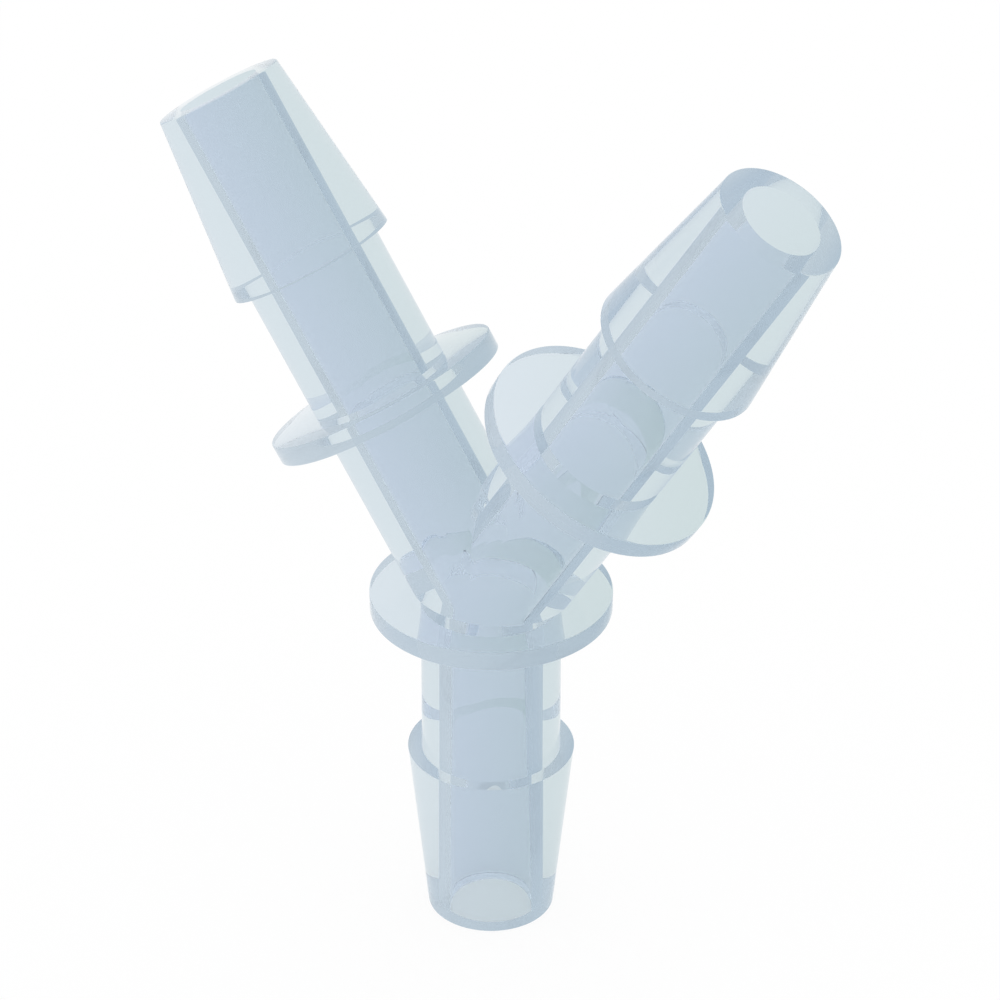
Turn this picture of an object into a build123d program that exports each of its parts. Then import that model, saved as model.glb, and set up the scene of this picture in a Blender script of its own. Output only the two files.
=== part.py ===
"""Tubing Y connector: one moulded polypropylene fitting with three hose barbs.

A stem and two arms meet at one junction. Every leg ends in the same barb: a long
taper from a flat open tip out to a square shoulder, a straight neck that the hose
grips, and a round flange that the hose end stops against. A straight bore runs
down each leg, and the three bores open into each other at the junction.

Frame: the connector stands on the stem's flat tip. The origin is the centre of
that tip, +Z runs up the stem, and the two arms lie in the XZ plane.
"""
from build123d import *
from math import cos, radians, sin
import os

# Barb, the same on all three legs, for hose of 9.5 mm (3/8 in.) inside diameter
NECK_DIAMETER = 9.5      # the hose's relaxed inside diameter
SHOULDER_HEIGHT = 0.95   # the barb's sharp edge above the neck
TIP_RELIEF = 0.4         # the tip below the neck, so that the hose starts over it
BARB_LENGTH = 12.75      # from the shoulder to the open tip
WALL = 1.95              # from the neck in to the bore

# Flange that stops the hose end
FLANGE_HEIGHT = 3.45     # its rim above the neck
FLANGE_THICKNESS = 1.4

# Legs
ARM_SPREAD = 64.0        # angle between the two arms
STEM_SHANK = 0.0         # junction to the stem's flange: the arms rise straight from it
STEM_NECK = 11.15        # flange to shoulder
ARM_NECK = 9.6
FLANGE_GAP = 1.35        # free space left between the two arms' flanges

# Edges broken to be kind to hands and hose
RIM_BREAK = 0.1          # both edges of a flange
TIP_BREAK = 0.1          # outer edge of a tip

NECK_RADIUS = NECK_DIAMETER / 2
BARB_RADIUS = NECK_RADIUS + SHOULDER_HEIGHT
TIP_RADIUS = NECK_RADIUS - TIP_RELIEF
BORE_RADIUS = NECK_RADIUS - WALL
FLANGE_RADIUS = NECK_RADIUS + FLANGE_HEIGHT

# The arms' flanges sit just far enough out along their arms to clear each other
HALF_SPREAD = radians(ARM_SPREAD / 2)
ARM_SHANK = (FLANGE_RADIUS * cos(HALF_SPREAD) + FLANGE_GAP / 2) / sin(HALF_SPREAD)

# Each leg: its lean from straight up in the XZ plane, its shank and its neck
STEM = (180.0, STEM_SHANK, STEM_NECK)
LEFT_ARM = (-ARM_SPREAD / 2, ARM_SHANK, ARM_NECK)
RIGHT_ARM = (ARM_SPREAD / 2, ARM_SHANK, ARM_NECK)


def leg_length(shank, neck):
    """Distance along a leg from the junction to its open tip."""
    return shank + FLANGE_THICKNESS + neck + BARB_LENGTH


JUNCTION = Vector(0, 0, leg_length(STEM_SHANK, STEM_NECK))


def leg_plane(lean):
    """Plane of a leg's half section: its X points away from the axis, its Y out to the tip."""
    return Plane(JUNCTION, x_dir=Vector(1, 0, 0).rotate(Axis.Y, lean), z_dir=(0, -1, 0))


os.makedirs("parts", exist_ok=True)

with BuildPart() as y_connector_body:
    # Skin of each leg: half its section, turned about its own axis
    for lean, shank, neck in (STEM, LEFT_ARM, RIGHT_ARM):
        shoulder = shank + FLANGE_THICKNESS + neck
        tip = shoulder + BARB_LENGTH
        with BuildSketch(leg_plane(lean)) as section:
            with BuildLine():
                Polyline(
                    (0, 0),
                    (NECK_RADIUS, 0),
                    (NECK_RADIUS, shoulder),
                    (BARB_RADIUS, shoulder),
                    (TIP_RADIUS, tip),
                    (0, tip),
                    close=True,
                )
            make_face()
            with Locations((0, shank)):
                Rectangle(FLANGE_RADIUS, FLANGE_THICKNESS, align=Align.MIN)
            chamfer(section.vertices().group_by(Axis.X)[-1], RIM_BREAK)
            chamfer(section.vertices().group_by(Axis.Y)[-1].sort_by(Axis.X)[-1], TIP_BREAK)
        revolve(axis=Axis(JUNCTION, leg_plane(lean).y_dir))

    # Bores, drilled from each open tip down to the junction
    for lean, shank, neck in (STEM, LEFT_ARM, RIGHT_ARM):
        outward = leg_plane(lean).y_dir
        mouth = Plane(JUNCTION + outward * leg_length(shank, neck), z_dir=outward)
        with Locations(mouth):
            Hole(BORE_RADIUS, depth=leg_length(shank, neck))

y_connector_body.part.label = "y_connector_body"
export_step(y_connector_body.part, "parts/y_connector_body.step")
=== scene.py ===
"""Tubing Y connector in natural polypropylene, standing on its stem's open tip."""
from math import cos, radians, sin

import bmesh
import bpy
from mathutils import Matrix, Vector


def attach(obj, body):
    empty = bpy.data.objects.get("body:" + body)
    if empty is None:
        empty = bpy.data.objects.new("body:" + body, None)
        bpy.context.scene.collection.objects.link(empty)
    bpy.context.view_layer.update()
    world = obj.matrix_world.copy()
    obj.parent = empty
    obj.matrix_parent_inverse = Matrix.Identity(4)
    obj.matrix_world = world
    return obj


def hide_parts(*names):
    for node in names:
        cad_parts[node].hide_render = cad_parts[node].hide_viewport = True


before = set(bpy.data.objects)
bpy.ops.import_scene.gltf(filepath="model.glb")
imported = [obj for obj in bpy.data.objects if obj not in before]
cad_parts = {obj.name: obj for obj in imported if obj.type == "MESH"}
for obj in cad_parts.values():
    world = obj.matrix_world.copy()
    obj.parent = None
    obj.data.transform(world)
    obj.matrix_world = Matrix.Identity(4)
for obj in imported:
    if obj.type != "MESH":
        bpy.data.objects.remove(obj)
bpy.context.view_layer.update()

MM = 0.001

# --- Sizes of the moulding ---------------------------------------------------------------

NECK_RADIUS = 4.75 * MM
BARB_RADIUS = 5.7 * MM        # sharp edge of the shoulder
TIP_RADIUS = 4.35 * MM        # open end of the barb
BORE_RADIUS = 2.8 * MM
FLANGE_RADIUS = 8.2 * MM
FLANGE_THICKNESS = 1.4 * MM
BARB_LENGTH = 12.75 * MM
STEM_SHANK = 0.0              # junction to the stem's flange
STEM_NECK = 11.15 * MM
ARM_SHANK = 14.397 * MM       # just enough for the arms' flanges to clear each other
ARM_NECK = 9.6 * MM
ARM_LEAN = radians(32.0)      # an arm's lean from straight up
EDGE_ROUND = 0.1 * MM         # flange rims and tips, as the mould leaves them
EDGE_SEGMENTS = 3

JUNCTION = Vector((0.0, 0.0, FLANGE_THICKNESS + STEM_NECK + BARB_LENGTH))
STEM_AXIS = Vector((0.0, 0.0, -1.0))
ARM_AXIS = Vector((sin(ARM_LEAN), 0.0, cos(ARM_LEAN)))   # right arm: the left one mirrors it

UP = Vector((0.0, 0.0, 1.0))
RIGHT = Vector((1.0, 0.0, 0.0))
FRONT = Vector((0.0, -1.0, 0.0))

SEGMENTS = 512                # round every tube, a multiple of four so that the mitres meet
WELD = 1e-6
SHARP_FROM = radians(35.0)    # an edge that turns more than this is shaded as an edge


# --- Modelling the moulding --------------------------------------------------------------


def turned(axis, outline, keep=()):
    """Spin an outline of (distance from the axis, distance from the junction) into a skin.

    Each normal in keep mitres it at the junction: what lies on the normal's side stays.
    """
    bm = bmesh.new()
    verts = [bm.verts.new(JUNCTION - FRONT * r + axis * t) for r, t in outline]
    edges = [bm.edges.new(pair) for pair in zip(verts, verts[1:])]
    bmesh.ops.spin(bm, geom=verts + edges, cent=JUNCTION, axis=axis, angle=radians(360.0),
                   steps=SEGMENTS, use_merge=True, use_duplicate=False)
    for normal in keep:
        bmesh.ops.bisect_plane(bm, geom=bm.verts[:] + bm.edges[:] + bm.faces[:], dist=WELD,
                               plane_co=JUNCTION, plane_no=normal, clear_inner=True)
    return bm


def pour(bm, part):
    """Move one bmesh into another."""
    mesh = bpy.data.meshes.new("pour")
    part.to_mesh(mesh)
    bm.from_mesh(mesh)
    part.free()
    bpy.data.meshes.remove(mesh)


def barb_outline(shank, neck):
    """A leg's outline from its flange's rim to the edge of its bore."""
    flange = shank + FLANGE_THICKNESS
    shoulder = flange + neck
    tip = shoulder + BARB_LENGTH
    return [
        (FLANGE_RADIUS, shank), (FLANGE_RADIUS, flange), (NECK_RADIUS, flange),
        (NECK_RADIUS, shoulder), (BARB_RADIUS, shoulder), (TIP_RADIUS, tip), (BORE_RADIUS, tip),
    ]


def bore_outline(shank, neck):
    return [(BORE_RADIUS, shank + FLANGE_THICKNESS + neck + BARB_LENGTH), (BORE_RADIUS, 0.0)]


def ring(bm, axis, radius, height):
    """The edges of one circle about a leg's axis."""
    def on_it(vert):
        arm = vert.co - JUNCTION
        along = arm.dot(axis)
        return abs(along - height) < WELD and abs((arm - axis * along).length - radius) < WELD
    return [e for e in bm.edges if on_it(e.verts[0]) and on_it(e.verts[1])]


def round_off(bm, axis, shank, neck):
    """Round both edges of a leg's flange and the outer edge of its tip."""
    flange = shank + FLANGE_THICKNESS
    tip = flange + neck + BARB_LENGTH
    edges = []
    for radius, height in ((FLANGE_RADIUS, shank), (FLANGE_RADIUS, flange), (TIP_RADIUS, tip)):
        edges += ring(bm, axis, radius, height)
    bmesh.ops.bevel(bm, geom=edges, affect="EDGES", offset=EDGE_ROUND, segments=EDGE_SEGMENTS,
                    profile=0.5, material=-1)


def connector_mesh():
    bm = bmesh.new()
    # Right arm, mitred against the left one above the stem's flange, and its mirror image
    skin = [(NECK_RADIUS, 0.0), (NECK_RADIUS, ARM_SHANK)] + barb_outline(ARM_SHANK, ARM_NECK)
    pour(bm, turned(ARM_AXIS, skin, keep=(RIGHT, UP)))
    pour(bm, turned(ARM_AXIS, bore_outline(ARM_SHANK, ARM_NECK),
                    keep=(RIGHT, ARM_AXIS - STEM_AXIS)))
    bmesh.ops.mirror(bm, geom=bm.verts[:] + bm.edges[:] + bm.faces[:], matrix=Matrix.Identity(4),
                     merge_dist=WELD, axis="X")
    # Stem: its bore ends in a ridge between the two mitres
    left_axis = Vector((-ARM_AXIS.x, 0.0, ARM_AXIS.z))
    pour(bm, turned(STEM_AXIS, barb_outline(STEM_SHANK, STEM_NECK)))
    pour(bm, turned(STEM_AXIS, bore_outline(STEM_SHANK, STEM_NECK),
                    keep=(STEM_AXIS - ARM_AXIS, STEM_AXIS - left_axis)))
    # Top of the stem's flange, from its rim in to the oval where both arms rise
    made = bmesh.ops.extrude_edge_only(bm, edges=ring(bm, STEM_AXIS, FLANGE_RADIUS, STEM_SHANK))
    inner = [v for v in made["geom"] if isinstance(v, bmesh.types.BMVert)]
    oval = Vector((NECK_RADIUS / cos(ARM_LEAN), NECK_RADIUS, FLANGE_RADIUS)) / FLANGE_RADIUS
    bmesh.ops.scale(bm, verts=inner, vec=oval, space=Matrix.Translation(-JUNCTION))
    bmesh.ops.remove_doubles(bm, verts=bm.verts[:], dist=WELD)
    bmesh.ops.recalc_face_normals(bm, faces=bm.faces[:])
    for axis, shank, neck in ((STEM_AXIS, STEM_SHANK, STEM_NECK),
                              (ARM_AXIS, ARM_SHANK, ARM_NECK), (left_axis, ARM_SHANK, ARM_NECK)):
        round_off(bm, axis, shank, neck)
    open_edges = [e for e in bm.edges if not e.is_manifold]
    print("connector: %d faces, %d open edges" % (len(bm.faces), len(open_edges)))
    for face in bm.faces:
        face.smooth = True
    for edge in bm.edges:
        edge.smooth = edge.calc_face_angle(0.0) < SHARP_FROM
    mesh = bpy.data.meshes.new("y_connector")
    bm.to_mesh(mesh)
    bm.free()
    return mesh


# --- Natural polypropylene ---------------------------------------------------------------

WHITE = (1.0, 1.0, 1.0, 1.0)
BLACK = (0.0, 0.0, 0.0, 1.0)
BENDING = 1.19                # index of refraction, kept low: the bore shows hardly widened
MILKINESS = 0.02              # share of the light that the skin scatters, not lets through

# Base colours, by how many skins the light has already gone through
SKIN_TINTS = ((0.719, 0.796, 0.855, 1.0), (0.719, 0.796, 0.855, 1.0),
              (0.799, 0.828, 0.939, 1.0), (0.799, 0.828, 0.939, 1.0), WHITE)
MOST_SKINS = 10.0

# Painted light: colours that the plastic glows with where light turned back inside a wall strikes
# next, on a leg's painted lit side and on its painted shaded side:
# in the first wall, and in any wall after it
FIRST_WALL_GLOW = ((0.670, 0.730, 0.785, 1.0), (0.500, 0.592, 0.695, 1.0))
LATER_WALL_GLOW = ((0.885, 0.905, 0.960, 1.0), (0.830, 0.865, 0.915, 1.0))
TURNED_ROUGHNESS = 0.9        # what is left of that light spreads

SIDE_LIGHT_BEARING = radians(27.5)    # painted side light: each leg is left white on its side toward the camera's left and painted darker and greenish toward its right, as if lit from the left
SIDE_LIGHT_REACH = FLANGE_RADIUS   # across each leg, along this bearing, this far each way
LIT_SIDE_TINT = WHITE
SHADED_SIDE_TINT = (0.880, 0.920, 0.875, 1.0)

HAZE_SIZE = 9.0 * MM          # clouds that push the painted side light this way and that
HAZE_SHIFT = 0.12
HAZE_SEEN = (0.4, 0.7)        # from the clear to the haziest spots
HAZE_ROUGHNESS = 0.02         # on the haziest spots

FLOW_SIZE = 6.0 * MM          # ripples left by the plastic's flow into the mould
FLOW_HEIGHT = 0.005 * MM
FLOW_STRENGTH = 0.02


def add(nodes, kind, **settings):
    """A new node with its plain settings and its inputs, by name."""
    node = nodes.new("ShaderNode" + kind)
    for name, value in settings.items():
        if name in ("operation", "data_type", "blend_type"):
            setattr(node, name, value)
        else:
            node.inputs[name.replace("_", " ")].default_value = value
    return node


def feed(links, socket, term):
    """Give a socket a plain value or another node's result."""
    if isinstance(term, bpy.types.NodeSocket):
        links.new(term, socket)
    else:
        socket.default_value = term


def worked_out(nodes, links, operation, *terms):
    """The result of a Math node."""
    node = add(nodes, "Math", operation=operation)
    for socket, term in zip(node.inputs, terms):
        feed(links, socket, term)
    return node.outputs[0]


def blend(nodes, links, factor, first, second, blend_type="MIX"):
    """The result of a Mix node for colours."""
    node = add(nodes, "Mix", data_type="RGBA", blend_type=blend_type)
    for socket, term in ((0, factor), (6, first), (7, second)):
        feed(links, node.inputs[socket], term)
    return node.outputs[2]


def noise(nodes, links, place, size, detail):
    node = add(nodes, "TexNoise", Scale=1.0 / size, Detail=detail)
    links.new(place, node.inputs["Vector"])
    return node.outputs["Fac"]


def tint_of_skins(nodes, links, skins):
    """The base colour, which steps through the tints as the skins go up."""
    ramp = add(nodes, "ValToRGB")
    ramp.color_ramp.interpolation = "CONSTANT"
    stops = ramp.color_ramp.elements
    while len(stops) < len(SKIN_TINTS):
        stops.new(1.0)
    for index, tint in enumerate(SKIN_TINTS):
        stops[index].position = max(0.0, index - 0.5) / MOST_SKINS
        stops[index].color = tint
    links.new(worked_out(nodes, links, "DIVIDE", skins, MOST_SKINS), ramp.inputs["Fac"])
    return ramp.outputs["Color"]


def across_leg(nodes, links, place):
    """How far a point lies from its leg's axis, along the bearing of the painted side light."""
    xyz = add(nodes, "SeparateXYZ")
    links.new(place, xyz.inputs[0])
    x, y, z = xyz.outputs
    height = worked_out(nodes, links, "SUBTRACT", z, JUNCTION.z)
    rise = worked_out(nodes, links, "MAXIMUM", height, 0.0)
    lean = worked_out(nodes, links, "MULTIPLY", rise, ARM_AXIS.x / ARM_AXIS.z)
    arm = worked_out(nodes, links, "MULTIPLY", worked_out(nodes, links, "SIGN", x), lean)
    off = worked_out(nodes, links, "SUBTRACT", x, arm)
    along = worked_out(nodes, links, "MULTIPLY", off, cos(SIDE_LIGHT_BEARING))
    return worked_out(nodes, links, "MULTIPLY_ADD", y, sin(SIDE_LIGHT_BEARING), along)


def painted_side_light(nodes, links, place, haze):
    """Painted side light: 0 on a leg's side toward the camera's left, left white, and 1 on its
    right side, painted darker and greenish.
    """
    straight = worked_out(nodes, links, "MULTIPLY_ADD", across_leg(nodes, links, place),
                          0.5 / SIDE_LIGHT_REACH, 0.5 - 0.5 * HAZE_SHIFT)
    side_shade_and_haze = worked_out(nodes, links, "MULTIPLY_ADD", haze, HAZE_SHIFT, straight)
    side_shade_and_haze.node.use_clamp = True
    return side_shade_and_haze


def polypropylene():
    """Clear, faintly milky plastic, tinted by its skins and not by how thick it is, with painted
    side light across each leg and a painted glow where light turned back inside a wall strikes.
    """
    mat = bpy.data.materials.new("natural_polypropylene")
    mat.use_nodes = True
    nodes, links = mat.node_tree.nodes, mat.node_tree.links
    shader = nodes["Principled BSDF"]
    shader.inputs["IOR"].default_value = BENDING
    shader.inputs["Transmission Weight"].default_value = 1.0 - MILKINESS

    place = add(nodes, "TexCoord").outputs["Object"]
    haze = noise(nodes, links, place, HAZE_SIZE, 1.0)
    side_shade_and_haze = painted_side_light(nodes, links, place, haze)
    path = add(nodes, "LightPath")
    skins, turns = path.outputs["Transmission Depth"], path.outputs["Glossy Depth"]
    turned_back = worked_out(nodes, links, "GREATER_THAN", turns, 0.5)

    # Painted side light: the base colour is painted darker and greenish on each leg's right side,
    # moved about by random haze
    painted_side_tint = blend(nodes, links, side_shade_and_haze, LIT_SIDE_TINT, SHADED_SIDE_TINT)
    tint = blend(nodes, links, turned_back, tint_of_skins(nodes, links, skins), BLACK)
    links.new(blend(nodes, links, 1.0, tint, painted_side_tint, "MULTIPLY"), shader.inputs["Base Color"])

    # Painted light: light that is turned back inside a wall ends where it strikes next, and there
    # the plastic glows in one even colour that stands in for the light it would have brought
    past_wall = worked_out(nodes, links, "GREATER_THAN", skins, 1.5)
    painted_glow = blend(nodes, links, past_wall, blend(nodes, links, side_shade_and_haze, *FIRST_WALL_GLOW),
                 blend(nodes, links, side_shade_and_haze, *LATER_WALL_GLOW))
    glow_shows = worked_out(nodes, links, "COMPARE", turns, 1.0, 0.5)
    links.new(blend(nodes, links, glow_shows, BLACK, painted_glow), shader.inputs["Emission Color"])
    shader.inputs["Emission Strength"].default_value = 1.0
    mat.cycles.emission_sampling = "NONE"

    gloss = add(nodes, "MapRange", From_Min=HAZE_SEEN[0], From_Max=HAZE_SEEN[1],
                To_Max=HAZE_ROUGHNESS)
    links.new(haze, gloss.inputs["Value"])
    links.new(worked_out(nodes, links, "MULTIPLY_ADD", turned_back, TURNED_ROUGHNESS,
                         gloss.outputs["Result"]), shader.inputs["Roughness"])

    ripple = add(nodes, "Bump", Strength=FLOW_STRENGTH, Distance=FLOW_HEIGHT)
    links.new(noise(nodes, links, place, FLOW_SIZE, 0.0), ripple.inputs["Height"])
    links.new(ripple.outputs["Normal"], shader.inputs["Normal"])
    return mat


# --- The connector -----------------------------------------------------------------------

connector = bpy.data.objects.new("y_connector", connector_mesh())
bpy.context.scene.collection.objects.link(connector)
connector.data.materials.append(polypropylene())
weighted = connector.modifiers.new("even_normals", "WEIGHTED_NORMAL")
weighted.keep_sharp = True
weighted.weight = 100
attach(connector, "root")
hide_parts("y_connector_body")

# --- Floor, light and camera -------------------------------------------------------------

FLOOR_HALF = 2.0
FLOOR_DROP = 0.03 * MM        # a hair of air under the tip, as under any moulding
SHADOW_SEEN = 0.08            # how much of the floor's white is light that the object can block
SHADOW_THROUGH = 0.40         # the same where the floor shows through the plastic


def floor_material():
    """Plain white that still takes the object's soft shadow."""
    mat = bpy.data.materials.new("pale_floor")
    mat.use_nodes = True
    nodes, links = mat.node_tree.nodes, mat.node_tree.links
    nodes.clear()
    path = add(nodes, "LightPath")
    share = add(nodes, "MapRange", To_Min=SHADOW_THROUGH, To_Max=SHADOW_SEEN)
    links.new(path.outputs["Is Camera Ray"], share.inputs["Value"])
    glow = add(nodes, "Emission", Color=WHITE, Strength=1.0)
    paint = add(nodes, "BsdfDiffuse", Color=WHITE)
    both = add(nodes, "MixShader")
    links.new(share.outputs["Result"], both.inputs[0])
    links.new(glow.outputs["Emission"], both.inputs[1])
    links.new(paint.outputs["BSDF"], both.inputs[2])
    links.new(both.outputs["Shader"], add(nodes, "OutputMaterial").inputs["Surface"])
    return mat


def floor():
    bm = bmesh.new()
    bmesh.ops.create_grid(bm, x_segments=1, y_segments=1, size=FLOOR_HALF,
                          matrix=Matrix.Translation((0.0, 0.0, -FLOOR_DROP)))
    mesh = bpy.data.meshes.new("floor")
    bm.to_mesh(mesh)
    bm.free()
    obj = bpy.data.objects.new("floor", mesh)
    bpy.context.scene.collection.objects.link(obj)
    mesh.materials.append(floor_material())
    return obj


floor()


def white_studio():
    """Soft white light from all round."""
    world = bpy.data.worlds.new("white_studio")
    world.use_nodes = True
    light = world.node_tree.nodes["Background"]
    light.inputs["Color"].default_value = WHITE
    light.inputs["Strength"].default_value = 1.0
    return world


scene = bpy.context.scene
scene.view_settings.view_transform = "Standard"
scene.world = white_studio()
scene.cycles.max_bounces = 32             # a line of sight can cross many walls
scene.cycles.transmission_bounces = 32
scene.cycles.glossy_bounces = 2

CAMERA_AZIMUTH = radians(27.543)
CAMERA_ELEVATION = radians(30.419)
CAMERA_ROLL = radians(0.118)
CAMERA_DISTANCE = 295.90 * MM
FRAME_PIXELS = 1000.0
FOCAL_PIXELS = 4398.82
OFF_CENTRE = (0.591 * MM, 5.897 * MM)    # frame centre from the junction, right and up


def camera():
    back = Vector((sin(CAMERA_AZIMUTH) * cos(CAMERA_ELEVATION),
                   -cos(CAMERA_AZIMUTH) * cos(CAMERA_ELEVATION), sin(CAMERA_ELEVATION)))
    level = Vector((cos(CAMERA_AZIMUTH), sin(CAMERA_AZIMUTH), 0.0))
    roll = Matrix.Rotation(CAMERA_ROLL, 3, back)
    right = roll @ level
    up = back.cross(right)
    data = bpy.data.cameras.new("camera")
    data.sensor_width = 36.0
    data.lens = FOCAL_PIXELS / FRAME_PIXELS * data.sensor_width
    data.clip_start = 0.01
    obj = bpy.data.objects.new("camera", data)
    place = JUNCTION + right * OFF_CENTRE[0] + up * OFF_CENTRE[1] + back * CAMERA_DISTANCE
    obj.matrix_world = Matrix.Translation(place) @ Matrix((right, up, back)).transposed().to_4x4()
    scene.collection.objects.link(obj)
    return obj


scene.camera = camera()
